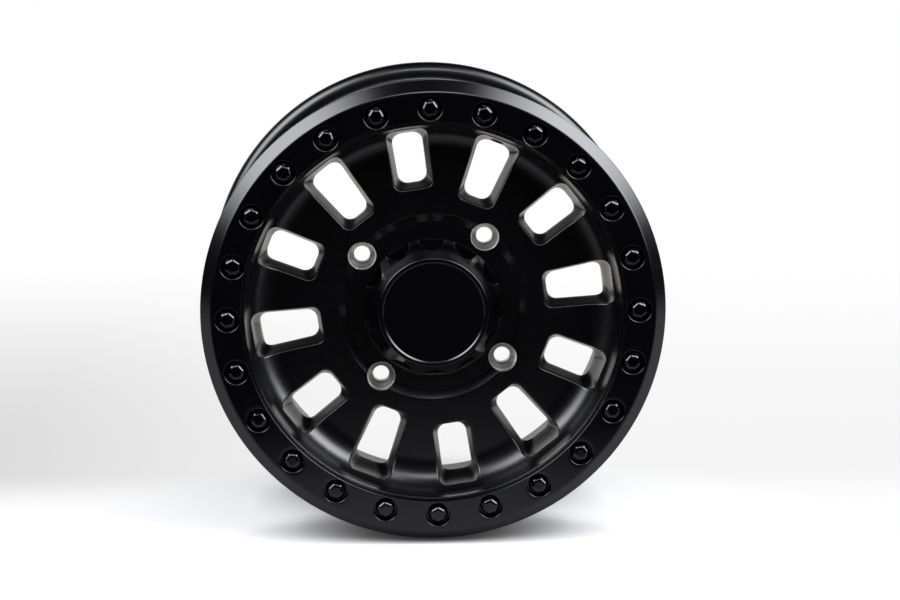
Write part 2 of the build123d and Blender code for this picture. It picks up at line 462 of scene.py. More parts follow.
# The barrel's outline goes from the dish over the front rim and the rear flange, and back inside to the web
bead_seat_r = 190.1
seat_taper = radians(5)
seat_width = 21
shelf_end = front_plane + 19
shoulder_r = bead_seat_r + 7
shoulder_end = shelf_end + 5
well_r = well_inner_r + barrel_wall
well_front = shelf_end + 16.3
well_back = 24
ledge_r = bead_seat_r - tan(seat_taper) * seat_width
ledge_inner_r = ledge_r - barrel_wall
ledge_start = well_back + 32
rear_plane = rear_end - 15.2
rear_cone = 12
seat_start = rear_plane - seat_width
hump_width = 11
hump_height = 1.4
dish_edge_r = 0.8
lip_edge_r = 1.2
shelf_bend_r = 2
ramp_bend_r = 8
well_bend_r = 10
hump_bend_r = 6
hump_top_r = 8
flange_bend_r = 10
rear_edge_r = 2.5
cone_bend_r = 8
barrel_front = rounded_path(
    [front_web.section(front_outer), complex(dish_wall_r, front_plane),
     complex(bolt_zone_inner_r, front_plane)], [dish_edge_r], margin=0.6)
barrel_back = rounded_path(
    [complex(bolt_zone_outer_r, front_plane), complex(bead_seat_r, front_plane),
     complex(bead_seat_r, shelf_end), complex(shoulder_r, shelf_end), complex(shoulder_r, shoulder_end),
     complex(well_r, well_front), complex(well_r, well_back), complex(ledge_r, ledge_start),
     complex(ledge_r, seat_start - hump_width),
     complex(ledge_r + hump_height, seat_start - hump_width / 2), complex(ledge_r, seat_start),
     complex(bead_seat_r, rear_plane), complex(rear_flange_r, rear_plane), complex(rear_flange_r, rear_end),
     complex(rear_flange_r - rear_cone, rear_end), complex(ledge_inner_r, rear_plane - rear_cone),
     complex(ledge_inner_r, ledge_start + barrel_wall), complex(well_inner_r, well_back),
     back_web.section(back_outer)],
    [lip_edge_r, shelf_bend_r, shelf_bend_r, shelf_bend_r, ramp_bend_r, well_bend_r, well_bend_r, hump_bend_r,
     hump_top_r, hump_bend_r, hump_bend_r, flange_bend_r, rear_edge_r, rear_edge_r, cone_bend_r, well_bend_r,
     well_bend_r], margin=1.2)

# The face's unit: a long and a short window, the hollows behind two spokes, and a sixth of the barrel
face_units = 6
face_unit = bmesh.new()
skin(face_unit, window_rows(long_window), closed=True)
skin(face_unit, turned_rows(window_rows(short_window), window_pitch), closed=True)
pocket_rows = [[lifted(plan, web_back - place.imag) for plan in pocket_loop(place.real)]
               for place in pocket_section]
pocket_floor = half_pocket(pocket_section[-1].real)
pocket_middle = through(pocket_floor[0], pocket_floor[-1], len(pocket_floor) - 1)
pocket_mirror = [plan.conjugate() for plan in pocket_floor]
floor_rows = [[lifted(plan, web_back - pocket_depth) for plan in row]
              for row in (pocket_floor, pocket_middle, pocket_mirror)]
for spoke in (0.5, 1.5):
    skin(face_unit, turned_rows(pocket_rows, spoke * window_pitch), closed=True)
    skin(face_unit, turned_rows(floor_rows, spoke * window_pitch))
unit_angles = through(-window_pitch / 2, 1.5 * window_pitch, round(2 * window_pitch / step_angle))
swing(face_unit, barrel_front, unit_angles)
swing(face_unit, barrel_back, unit_angles)
for bolt in range(bolt_count // face_units):
    skin(face_unit, turned_rows(bolt_rows(thread_loops), (bolt - 0.5) * bolt_pitch), closed=True)

# The hub: a quarter with one lug hole, its rows at the radii that the lug seat and the recess's edges need
lug_count = mounts["hub_bolts"]["dims"]["count"]
lug_r = mounts["hub_bolts"]["dims"]["pcd_mm"] / 2
lug_hole_r = mounts["hub_bolts"]["dims"]["hole_r_mm"]
hub_bore_r = mounts["hub_bore"]["dims"]["r_mm"]
lug_pitch = 2 * pi / lug_count
lug_seat_r = 12.6
lug_back_break = 0.7
lug_back_r = lug_hole_r + lug_back_break
floor_y = face_y + 4.5
cap_bore_r = 54
cap_bore_break = 0.6
hub_bore_break = 1
recess_floor_r = 77.2
recess_edge_r = 84.2
recess_bend_r = 3
hub_columns = round(lug_pitch / 2 / step_angle)
pad_columns = hub_columns // 2
pad_inner_r = hub_bore_r + hub_bore_break
pad_outer_r = 95
pad_pocket_inner_r = 71.5
pad_pocket_outer_r = 88
pad_pocket_depth = 6
pad_pocket_edge = radians(22)
recess = rounded_path(
    [complex(cap_bore_r + cap_bore_break, floor_y), complex(recess_floor_r, floor_y),
     complex(recess_edge_r, face_y), complex(front_inner, face_y)],
    [recess_bend_r, recess_bend_r], margin=0.6)


def recess_y(radius):
    """Level of the hub's front at a radius."""
    for inner, outer in zip(recess, recess[1:]):
        if radius <= outer.real:
            return inner.imag + (outer.imag - inner.imag) * (radius - inner.real) / (outer.real - inner.real)
    return face_y


def bearing(radius, circle_r):
    """Angle about the lug hole at which a circle round it lies at a radius from the axis."""
    return acos((radius ** 2 - lug_r ** 2 - circle_r ** 2) / (2 * lug_r * circle_r))


def pad_edge(radius):
    """Angle of the pad's hollow, or of the column that runs on beside it."""
    if pad_pocket_inner_r <= radius <= pad_pocket_outer_r:
        return pad_pocket_edge
    return pad_columns * step_angle


slack = 0.01
bearing_steps = 16
bearings = set(through(0, pi, bearing_steps)) | {bearing(pad_pocket_inner_r, lug_back_r)}
bearings |= {bearing(place.real, lug_seat_r) for place in recess
             if abs(place.real - lug_r) < lug_seat_r - slack}
bearings = sorted(bearings, reverse=True)
seat_plan = [lug_r + rect(lug_seat_r, angle) for angle in bearings]
back_plan = [lug_r + rect(lug_back_r, angle) for angle in bearings]
front_rows = [complex(place.real, 0) for place in recess if abs(place.real - lug_r) >= lug_seat_r]
front_rows += [complex(abs(plan), phase(plan)) for plan in seat_plan]
front_rows.sort(key=lambda place: place.real)
pad_rows = [complex(radius, 0) for radius in (pad_inner_r, pad_pocket_inner_r - 3, pad_pocket_outer_r,
                                              pad_outer_r - 5, pad_outer_r - 2.5, pad_outer_r)]
pad_rows += [complex(abs(plan), phase(plan)) for plan in back_plan]
pad_rows.sort(key=lambda place: place.real)

hub_unit = bmesh.new()
for side in (1, -1):
    rows = []
    for place in front_rows:
        angles = through(place.imag, lug_pitch / 2, hub_columns)
        rows.append([swung(complex(place.real, recess_y(place.real)), side * angle) for angle in angles])
    skin(hub_unit, rows)
    inner_rows = []
    for place in pad_rows:
        angles = through(place.imag, pad_edge(place.real), pad_columns)
        inner_rows.append([swung(complex(place.real, 0), side * angle) for angle in angles])
    skin(hub_unit, inner_rows)
    outer_rows = []
    hollow_rows = []
    for place in pad_rows:
        angles = through(pad_edge(place.real), lug_pitch / 2, hub_columns - pad_columns)
        row = [swung(complex(place.real, 0), side * angle) for angle in angles]
        floor = [point - Vector((0, pad_pocket_depth, 0)) for point in row]
        if pad_pocket_inner_r - slack < place.real < pad_pocket_outer_r + slack:
            hollow_rows.append((row, floor))
        else:
            outer_rows.append((place.real, row))
    skin(hub_unit, [row for radius, row in outer_rows if radius < lug_r] + [hollow_rows[0][0]])
    skin(hub_unit, [hollow_rows[-1][0]] + [row for radius, row in outer_rows if radius > lug_r])
    skin(hub_unit, [floor for row, floor in hollow_rows])
    skin(hub_unit, hollow_rows[0])
    skin(hub_unit, hollow_rows[-1])
    skin(hub_unit, [[row[0] for row, floor in hollow_rows], [floor[0] for row, floor in hollow_rows]])
hub_angles = through(-lug_pitch / 2, lug_pitch / 2, 2 * hub_columns)
cap_relief_r = 58
cap_hook_y = floor_y + 4
bore_floor_y = -mounts["hub_bore"]["dims"]["length_mm"]
hook_edge_r = 0.4
relief_bend_r = 0.8
relief_edge_r = 0.5
swing(hub_unit, rounded_path(
    [recess[0], complex(cap_bore_r, floor_y + cap_bore_break), complex(cap_bore_r, cap_hook_y),
     complex(cap_relief_r, cap_hook_y), complex(cap_relief_r, bore_floor_y),
     complex(hub_bore_r, bore_floor_y), complex(hub_bore_r, -hub_bore_break), complex(pad_inner_r, 0)],
    [0, hook_edge_r, relief_bend_r, relief_edge_r, relief_bend_r, 0], margin=0.3), hub_angles)
pad_step_r = 96
pad_foot_r = 98
pad_bend_r = 0.8
swing(hub_unit, rounded_path(
    [complex(pad_outer_r, 0), complex(pad_step_r, 0), complex(pad_foot_r, web_back),
     complex(back_inner, web_back)], [pad_bend_r, pad_bend_r], margin=0.3), hub_angles)

# The lug seat's section, from its sharp edge down the cone and out at the back of the hole
seat_slope = tan(radians(30))
seat_break = 0.15
seat_steps = 6
hole_break = 0.25
hole_start = floor_y + (lug_seat_r - lug_hole_r) / seat_slope + 2 * hole_break
seat_edge = [plan - lug_r for plan in seat_plan]
seat_edge += [offset.conjugate() for offset in reversed(seat_edge[1:-1])]
seat_edge = [offset / lug_seat_r for offset in seat_edge]
seat_levels = [recess_y(abs(lug_r + offset * lug_seat_r)) for offset in seat_edge]
wall_r = lug_seat_r - seat_break
cone_r = wall_r - seat_break
cone_lift = 0.1
seat_wall = 0.55
seat_section = [(wall_r, floor_y + 2 * seat_break), (cone_r, floor_y + seat_wall)]
for radius in through(cone_r, lug_hole_r + hole_break, seat_steps):
    seat_section.append((radius, floor_y + cone_lift + (lug_seat_r - radius) / seat_slope))
seat_section += [(lug_hole_r, hole_start), (lug_hole_r, -lug_back_break), (lug_back_r, 0)]

seat_unit = bmesh.new()
turning = seat_unit.verts.layers.float.new("turning")
seat_rows = [[lifted(lug_r + offset * lug_seat_r, y) for offset, y in zip(seat_edge, seat_levels)],
             [lifted(lug_r + offset * wall_r, y + seat_break) for offset, y in zip(seat_edge, seat_levels)]]
seat_rows += [[lifted(lug_r + offset * radius, y) for offset in seat_edge] for radius, y in seat_section]
skin(seat_unit, seat_rows, closed=True)
for vert in seat_unit.verts:
    vert[turning] = hypot(vert.co.x - lug_r * mm, vert.co.z) + vert.co.y


def add_node(tree, kind, inputs=None, **settings):
    """Adds a node with its settings, and gives each input a value or a link from another node's output.

    An input goes by its name, or by its number where the node has several of that name.
    """
    node = tree.nodes.new(kind)
    for name, value in settings.items():
        setattr(node, name, value)
    for socket, value in (inputs or {}).items():
        if isinstance(value, bpy.types.NodeSocket):
            tree.links.new(value, node.inputs[socket])
        else:
            node.inputs[socket].default_value = value
    return node


# One tree sets any unit round the wheel's axis: sectors of the casting, the ring and the cap, bolts and legs
weld = 0.004
round_tree = bpy.data.node_groups.new("Round the axis", "GeometryNodeTree")
for name, kind in (("Unit", "Geometry"), ("Count", "Int"), ("Circle Radius", "Float"),
                   ("First Angle", "Float"), ("Spin Step", "Float"), ("Finish", "Material")):
    round_tree.interface.new_socket(name, in_out="INPUT", socket_type="NodeSocket" + kind)
round_tree.interface.new_socket("Piece", in_out="OUTPUT", socket_type="NodeSocketGeometry")
given = add_node(round_tree, "NodeGroupInput").outputs
index = add_node(round_tree, "GeometryNodeInputIndex").outputs[0]
pitch = add_node(round_tree, "ShaderNodeMath", {0: 2 * pi, 1: given["Count"]}, operation="DIVIDE")
around = add_node(round_tree, "ShaderNodeMath", {0: index, 1: pitch.outputs[0], 2: given["First Angle"]},
                  operation="MULTIPLY_ADD")
across = add_node(round_tree, "ShaderNodeMath", {0: around.outputs[0]}, operation="COSINE")
upward = add_node(round_tree, "ShaderNodeMath", {0: around.outputs[0]}, operation="SINE")
direction = add_node(round_tree, "ShaderNodeCombineXYZ", {"X": across.outputs[0], "Z": upward.outputs[0]})
position = add_node(round_tree, "ShaderNodeVectorMath",
                    {0: direction.outputs[0], "Scale": given["Circle Radius"]}, operation="SCALE")
points = add_node(round_tree, "GeometryNodePoints",
                  {"Count": given["Count"], "Position": position.outputs[0]})
spin = add_node(round_tree, "ShaderNodeMath", {0: index, 1: given["Spin Step"], 2: given["First Angle"]},
                operation="MULTIPLY_ADD")
back_spin = add_node(round_tree, "ShaderNodeMath", {0: spin.outputs[0], 1: -1}, operation="MULTIPLY")
rotation = add_node(round_tree, "ShaderNodeCombineXYZ", {"Y": back_spin.outputs[0]})
copies = add_node(round_tree, "GeometryNodeInstanceOnPoints",
                  {"Points": points.outputs[0], "Instance": given["Unit"], "Rotation": rotation.outputs[0]})
realized = add_node(round_tree, "GeometryNodeRealizeInstances", {"Geometry": copies.outputs[0]})
joined = add_node(round_tree, "GeometryNodeMergeByDistance",
                  {"Geometry": realized.outputs[0], "Distance": weld * mm})
finished = add_node(round_tree, "GeometryNodeSetMaterial",
                    {"Geometry": joined.outputs[0], "Material": given["Finish"]})
add_node(round_tree, "NodeGroupOutput", {"Piece": finished.outputs[0]})


def add_object(name, bm):
    """Adds an object with a mesh of the same name, from mesh data that is then freed."""
    mesh = bpy.data.meshes.new(name)
    bm.to_mesh(mesh)
    bm.free()
    added = bpy.data.objects.new(name, mesh)
    bpy.context.collection.objects.link(added)
    return added


def modified_mesh(holder):
    """Plain mesh of an object with its modifiers."""
    return bpy.data.meshes.new_from_object(holder.evaluated_get(bpy.context.evaluated_depsgraph_get()))


def set_round(unit, count, first_angle, spin_step, material, circle_r=0):
    """Mesh of a unit that the tree sets round the axis. The unit's own mesh data is freed."""
    bmesh.ops.remove_doubles(unit, verts=unit.verts, dist=weld * mm)
    holder = add_object("unit", unit)
    modifier = holder.modifiers.new("Round the axis", "NODES")
    modifier.node_group = round_tree
    values = {"Count": count, "Circle Radius": circle_r * mm, "First Angle": first_angle,
              "Spin Step": spin_step, "Finish": material}
    for socket in round_tree.interface.items_tree:
        if socket.name in values:
            modifier[socket.identifier] = values[socket.name]
    result = modified_mesh(holder)
    bpy.data.meshes.remove(holder.data)
    return result


def turned_cutter(outline, place, axis):
    """Cutter turned from an outline in (radius, y), with its axis laid along a hole's axis."""
    cutter_steps = 40
    lay = axis.to_track_quat("Y", "Z")
    angles = between(0, 2 * pi, cutter_steps)
    rows = [[lay @ swung(section, angle) + place for angle in angles] for section in outline]
    cutter_bm = bmesh.new()
    skin(cutter_bm, rows, closed=True)
    bmesh.ops.remove_doubles(cutter_bm, verts=cutter_bm.verts, dist=weld * mm)
    bmesh.ops.recalc_face_normals(cutter_bm, faces=cutter_bm.faces)
    return add_object("cutter", cutter_bm)


def make_piece(name, node, meshes, cutter=None):
    """Piece made of meshes that meet, in place of a CAD node, with its faces outwards."""
    finest_edge = 0.001
    sharp_angle = radians(28)
    shell = bmesh.new()
    materials = []
    for mesh in meshes:
        material = mesh.materials[-1]
        if material not in materials:
            materials.append(material)
        first = len(shell.faces)
        shell.from_mesh(mesh)
        shell.faces.ensure_lookup_table()
        for face in shell.faces[first:]:
            face.material_index = materials.index(material)
        bpy.data.meshes.remove(mesh)
    bmesh.ops.remove_doubles(shell, verts=shell.verts, dist=weld * mm)
    bmesh.ops.dissolve_degenerate(shell, edges=shell.edges, dist=finest_edge * mm)
    bmesh.ops.recalc_face_normals(shell, faces=shell.faces)
    piece = add_object(name, shell)
    for material in materials:
        piece.data.materials.append(material)
    if cutter:
        uncut = piece.data
        cut = piece.modifiers.new("Hole", "BOOLEAN")
        cut.object = cutter
        piece.data = modified_mesh(piece)
        piece.modifiers.clear()
        bpy.data.meshes.remove(uncut)
        bpy.data.meshes.remove(cutter.data)
        piece.data.name = name
    piece.data.shade_smooth()
    piece.data.set_sharp_from_angle(angle=sharp_angle)
    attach(piece, "root")
    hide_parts(node)


def linear(hex_colour):
    """Linear colour, with full alpha, of an sRGB hex value."""
    channels = [int(hex_colour[i:i + 2], 16) / 255 for i in (1, 3, 5)]
    return tuple(c / 12.92 if c <= 0.04045 else ((c + 0.055) / 1.055) ** 2.4 for c in channels) + (1,)


def new_finish(name):
    """New material with its node tree and its shader."""
    material = bpy.data.materials.new(name)
    material.use_nodes = True
    return material, material.node_tree, material.node_tree.nodes["Principled BSDF"]


# Most of a noise texture's values lie between these two
noise_low = 0.3
noise_high = 0.7


def black_finish(name, dark, light, roughness, peel):
    """Black coat or moulded skin: an even near-black with a faint ripple, which breaks its highlights softly.

    dark and light are the ends of its slight clouding, and peel is the height of its ripple in millimetres.
    """
    cloud_size = 40
    ripple_size = 1.6
    gloss_spread = 0.01
    material, tree, shader = new_finish(name)
    place = add_node(tree, "ShaderNodeTexCoord").outputs["Object"]
    clouds = add_node(tree, "ShaderNodeTexNoise",
                      {"Vector": place, "Scale": 1 / (cloud_size * mm), "Detail": 3})
    tone = add_node(tree, "ShaderNodeMix", {0: clouds.outputs[0], 6: linear(dark), 7: linear(light)},
                    data_type="RGBA")
    gloss = add_node(tree, "ShaderNodeMapRange",
                     {"Value": clouds.outputs[0], "From Min": noise_low, "From Max": noise_high,
                      "To Min": roughness - gloss_spread, "To Max": roughness + gloss_spread})
    ripple = add_node(tree, "ShaderNodeTexNoise",
                      {"Vector": place, "Scale": 1 / (ripple_size * mm), "Detail": 2})
    bump = add_node(tree, "ShaderNodeBump",
                    {"Strength": 0.5, "Distance": peel * mm, "Height": ripple.outputs[0]})
    tree.links.new(tone.outputs[2], shader.inputs["Base Color"])
    tree.links.new(gloss.outputs[0], shader.inputs["Roughness"])
    tree.links.new(bump.outputs[0], shader.inputs["Normal"])
    return material


# Polyester powder, sprayed and baked on the rough casting: satin black, with broad soft highlights
casting_coat = black_finish("Satin black powder coat", "#010102", "#020203", roughness=0.27, peel=0.008)

# Machined aluminium: bare bright metal with rings from the form tool that cut the seats. The rings are drawn
# coarser than the tool leaves them, so that they show.
mark_spacing = 0.5
band_spacing = 1.6
bare_metal, tree, shader = new_finish("Machined aluminium")
shader.inputs["Metallic"].default_value = 1
turned = add_node(tree, "ShaderNodeAttribute", attribute_name="turning").outputs["Fac"]
marks = add_node(tree, "ShaderNodeTexNoise", {"W": turned, "Scale": 1 / (mark_spacing * mm), "Detail": 2},
                 noise_dimensions="1D")
gloss = add_node(tree, "ShaderNodeMapRange",
                 {"Value": marks.outputs[0], "From Min": noise_low, "From Max": noise_high,
                  "To Min": 0.26, "To Max": 0.44})
bands = add_node(tree, "ShaderNodeTexNoise", {"W": turned, "Scale": 1 / (band_spacing * mm)},
                 noise_dimensions="1D")
share = add_node(tree, "ShaderNodeMapRange", {"Value": bands.outputs[0], "From Min": 0.4, "From Max": 0.6})
tone = add_node(tree, "ShaderNodeMix", {0: share.outputs[0], 6: linear("#8a8884"), 7: linear("#f6f4f0")},
                data_type="RGBA")
tree.links.new(tone.outputs[2], shader.inputs["Base Color"])
mark_depth = 0.03
bump = add_node(tree, "ShaderNodeBump",
                {"Strength": 0.4, "Distance": mark_depth * mm, "Height": marks.outputs[0]})
tree.links.new(gloss.outputs[0], shader.inputs["Roughness"])
tree.links.new(bump.outputs[0], shader.inputs["Normal"])

casting_meshes = [
    set_round(face_unit, face_units, wheel_turn, 2 * window_pitch, casting_coat),
    set_round(hub_unit, lug_count, wheel_turn + lug_pitch / 2, lug_pitch, casting_coat),
    set_round(seat_unit, lug_count, wheel_turn + lug_pitch / 2, lug_pitch, bare_metal),
]
# The valve hole, with a flat spot on the tyre's side and a broken edge in the window
valve = mounts["valve_hole"]
valve_r = valve["dims"]["r_mm"]
valve_half = valve["dims"]["length_mm"] / 2
valve_edge = 0.4
valve_flat_r = 7.5
valve_start = -valve_half - 5
valve_end = valve_half + barrel_wall
valve_cutter = turned_cutter(
    [complex(0, valve_start), complex(valve_r + valve_edge, valve_start),
     complex(valve_r + valve_edge, -valve_half), complex(valve_r, -valve_half + valve_edge),
     complex(valve_r, valve_half), complex(valve_flat_r, valve_half), complex(valve_flat_r, valve_end),
     complex(0, valve_end)], Vector(valve["pos_m"]) / mm, Vector(valve["axis"]))
make_piece("cast_wheel", "wheel_casting", casting_meshes, valve_cutter)


# Beadlock ring
# A turned aluminium ring that clamps the tyre's outer bead to the front rim. Its outside is bevelled, a small
# step runs round its bore, and each bolt has a counterbore with a rounded edge. It is powder-coated black.
ring_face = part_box("beadlock_ring")[0][1] / mm
ring_outer_r = 204.2
ring_bevel_r = 10.2
ring_bevel_t = 8.7
ring_bore_r = 165.4
ring_step_r = ring_bore_r + 1
ring_inner_r = ring_step_r + 2.4
ring_step_y = ring_face + 4
counterbore_r = 10.5
counterbore_edge_r = 0.9
counterbore_edge_steps = 4
bolt_seat_y = ring_face + 6
bolt_seat_break = 0.5
bolt_hole_r = 4.5
bolt_hole_break = 0.4
ring_flat_inner_r = ring_inner_r + 0.4
ring_flat_outer_r = ring_outer_r - ring_bevel_r - 1.5

ring_border = bolt_border(ring_flat_inner_r, ring_flat_outer_r)
ring_mouth = bolt_ring(counterbore_r + counterbore_edge_r)
ring_back = bolt_ring(bolt_hole_r + bolt_hole_break)
ring_loops = [(loop, ring_face) for loop in blended(ring_border, ring_mouth, steps=4)]
for tilt in through(0, pi / 2, counterbore_edge_steps):
    ring_loops.append((bolt_ring(counterbore_r + counterbore_edge_r * (1 - sin(tilt))),
                       ring_face + counterbore_edge_r * (1 - cos(tilt))))
ring_loops += [(bolt_ring(counterbore_r), bolt_seat_y - bolt_seat_break),
               (bolt_ring(counterbore_r - bolt_seat_break), bolt_seat_y),
               (bolt_ring(bolt_hole_r), bolt_seat_y),
               (bolt_ring(bolt_hole_r), front_plane - bolt_hole_break), (ring_back, front_plane)]
ring_loops += [(loop, front_plane) for loop in reversed(blended(ring_border, ring_back, steps=3))]

ring_unit = bmesh.new()
skin(ring_unit, bolt_rows(ring_loops), closed=True)
ring_angles = through(-bolt_pitch / 2, bolt_pitch / 2, bolt_end_steps)
ring_inner_edge_r = 0.6
ring_step_bend_r = 0.3
ring_step_edge_r = 0.45
ring_bore_edge_r = 0.4
swing(ring_unit, rounded_path(
    [complex(ring_flat_inner_r, ring_face), complex(ring_inner_r, ring_face),
     complex(ring_step_r, ring_step_y), complex(ring_bore_r, ring_step_y), complex(ring_bore_r, front_plane),
     complex(ring_flat_inner_r, front_plane)],
    [ring_inner_edge_r, ring_step_bend_r, ring_step_edge_r, ring_bore_edge_r], margin=0.2), ring_angles)
ring_bevel_bend_r = 3.5
ring_outer_edge_r = 0.8
ring_back_edge_r = 0.5
swing(ring_unit, rounded_path(
    [complex(ring_flat_outer_r, ring_face), complex(ring_outer_r - ring_bevel_r, ring_face),
     complex(ring_outer_r, ring_face + ring_bevel_t), complex(ring_outer_r, front_plane),
     complex(ring_flat_outer_r, front_plane)],
    [ring_bevel_bend_r, ring_outer_edge_r, ring_back_edge_r], margin=0.4), ring_angles)

# The same powder on a turned face: satin black, with a clearer reflection along the bevel
ring_coat = black_finish("Satin black powder coat on the ring", "#010102", "#020203", roughness=0.2,
                         peel=0.008)
ring_mesh = set_round(ring_unit, bolt_count, wheel_turn + bolt_pitch / 2, bolt_pitch, ring_coat)
make_piece("clamp_ring", "beadlock_ring", [ring_mesh])


# Ring bolts
# Twenty-four M8 hexagon flange bolts of forged steel, coated gloss black. Each is tightened down on the floor
# of its counterbore and stops at its own turn.
bolt_head_top = -6.6
bolt_shoulder = 2.7
bolt_shoulder_r = 3.6
bolt_top_margin = 0.5
bolt_flats = 6
bolt_corner_r = 6.72
bolt_side_y = -5
bolt_foot_y = -2.9
bolt_foot_w = 0.3
bolt_foot_h = 0.5
bolt_cone_top_r = 7.4
bolt_cone_top_y = -2.1
bolt_cone_r = 8.5
bolt_cone_y = -1.4
bolt_flange_r = 8.95
bolt_flange_y = -0.8
bolt_rim_w = 0.13
bolt_rim_h = 0.3
bolt_flange_break = 0.2
bolt_shank_r = 4
bolt_neck_break = 0.3
bolt_end = 25
bolt_end_break = 0.8
bolt_stop_turn = radians(23)
bolt_shoulder_steps = 5
bolt_steps = 48
bolt_angles = between(0, 2 * pi, bolt_steps)


def hexagon(angle):
    """Radius of the bolt's head at an angle: a hexagon with its corners taken off."""
    return min(bolt_flats / cos((angle + pi / 6) % (pi / 3) - pi / 6), bolt_corner_r)


def head_row(inset, y):
    """Row of points round the hexagon, moved inwards, at a level."""
    return [lifted(rect(hexagon(angle) - inset, angle), y) for angle in bolt_angles]


def shoulder_row(share):
    """Row of points on the head's rounded shoulder, at a share of the way from its top to the hexagon."""
    out = bolt_shoulder * share
    drop = bolt_shoulder_r - sqrt(bolt_shoulder_r ** 2 - out ** 2)
    return head_row(bolt_shoulder - out, bolt_head_top + drop)


def shank_row(radius, y):
    """Row of points round the bolt's axis."""
    return [lifted(rect(radius, angle), y) for angle in bolt_angles]


bolt_unit_rows = [shank_row(0, bolt_head_top), head_row(bolt_shoulder + bolt_top_margin, bolt_head_top)]
bolt_unit_rows += [shoulder_row(share) for share in through(0, 1, bolt_shoulder_steps)]
bolt_unit_rows += [
    head_row(0, bolt_side_y), head_row(0, bolt_foot_y), head_row(-bolt_foot_w, bolt_foot_y + bolt_foot_h),
    shank_row(bolt_cone_top_r, bolt_cone_top_y), shank_row(bolt_cone_r, bolt_cone_y),
    shank_row(bolt_flange_r - bolt_rim_w, bolt_flange_y - bolt_rim_h),
    shank_row(bolt_flange_r, bolt_flange_y),
    shank_row(bolt_flange_r, -bolt_flange_break), shank_row(bolt_flange_r - bolt_flange_break, 0),
    shank_row(bolt_shank_r + bolt_neck_break, 0), shank_row(bolt_shank_r, bolt_neck_break),
    shank_row(bolt_shank_r, bolt_end - bolt_end_break), shank_row(bolt_shank_r - bolt_end_break, bolt_end),
    shank_row(0, bolt_end)]
bolt_unit = bmesh.new()
seat_shift = Vector((0, bolt_seat_y, 0))
skin(bolt_unit, [[point + seat_shift for point in row] for row in bolt_unit_rows], closed=True)

# A thin gloss coat on forged steel: black, with small sharp highlights on the flats and the shoulder
bolt_coat = black_finish("Gloss black coated steel", "#010102", "#020203", roughness=0.12, peel=0.004)
bolt_mesh = set_round(bolt_unit, bolt_count, wheel_turn + bolt_pitch / 2, bolt_pitch - bolt_stop_turn,
                      bolt_coat, bolt_circle_r)
make_piece("flange_bolts", "ring_bolts", [bolt_mesh])


# Centre cap
# A moulded black cover that hides the hub's bore. Twelve scooped flutes run up its cone to a rimmed disc, and
# eight barbed legs behind it snap into the hub.
cap_turn = radians(1)
cap_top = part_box("centre_cap")[0][1] / mm
cap_flange_r = 61.8
cap_flange_y = floor_y - 5
cap_disc_r = 48.7
cap_disc_y = cap_top + 2
cap_dish_r = 44
cap_dish_y = cap_top + 1.2
cap_wall = 3
flute_count = 12
flute_pitch = 2 * pi / flute_count
flute_r = 13
flute_floor_r = 53.6
flute_centre_r = flute_floor_r + flute_r
flute_steps = 12
flute_floor_y = floor_y - 4.4
flute_edge_r = 0.7
flange_edge_r = 0.6
cap_edge_r = cap_flange_r - flange_edge_r
floor_columns = 3
wall_columns = 3
edge_columns = 4
cone_columns = 8
cone_slope = (cap_disc_y - cap_flange_y) / (cap_flange_r - cap_disc_r)


def cone_y(radius):
    """Level of the cap's cone at a radius."""
    return cap_flange_y + (cap_flange_r - radius) * cone_slope


def flute_point(angle):
    """Point of the edge that a flute cuts in the cone, at an angle about the flute's own axis."""
    plan = flute_centre_r - rect(flute_r, -angle)
    return lifted(plan, cone_y(abs(plan)))


def flute_row(angle):
    """Row of points from the flange's edge, over the flute's floor, up its wall and round the cone."""
    nudge = 0.01
    rounded_share = 0.7
    edge = flute_point(angle)
    radius = hypot(edge.x, edge.z)
    outward = Vector((edge.x / radius, 0, edge.z / radius))
    cone_normal = (outward * -cone_slope + Vector((0, -1, 0))).normalized()
    along = flute_point(angle + nudge) - flute_point(angle - nudge)
    away = cone_normal.cross(along).normalized()
    down = Vector((0, 1, 0))
    room = flute_floor_y - edge.y
    reach = min(flute_edge_r / tan(away.angle(down) / 2), room * rounded_share)
    leaving = edge + away * reach
    leaving_r = hypot(leaving.x, leaving.z)
    leaving_angle = atan2(leaving.z, leaving.x)
    surface = swung(complex(leaving_r, cone_y(leaving_r)), leaving_angle)
    base = Vector((edge.x, flute_floor_y, edge.z))
    rim = swung(complex(cap_edge_r, flute_floor_y), atan2(edge.z, edge.x))
    wall = edge + down * reach
    row = between(rim, base, floor_columns) + between(base, wall, wall_columns)
    row += reversed(round_edge(surface, edge, wall, edge_columns))
    cone_angles = through(leaving_angle, flute_pitch / 2, cone_columns)[1:]
    return row + [swung(complex(leaving_r, cone_y(leaving_r)), cone_angle) for cone_angle in cone_angles]


flute_end = acos((flute_centre_r ** 2 + flute_r ** 2 - cap_edge_r ** 2) / (2 * flute_centre_r * flute_r))
flute_rows = [flute_row(angle) for angle in through(0, flute_end, flute_steps)]
flute_rows[-1] = [swung(complex(cap_edge_r, point.y), atan2(point.z, point.x)) for point in flute_rows[-1]]
flange_edge = [row[0] for row in flute_rows] + flute_rows[-1][floor_columns + 1:]
flange_angles = [atan2(point.z, point.x) for point in flange_edge]
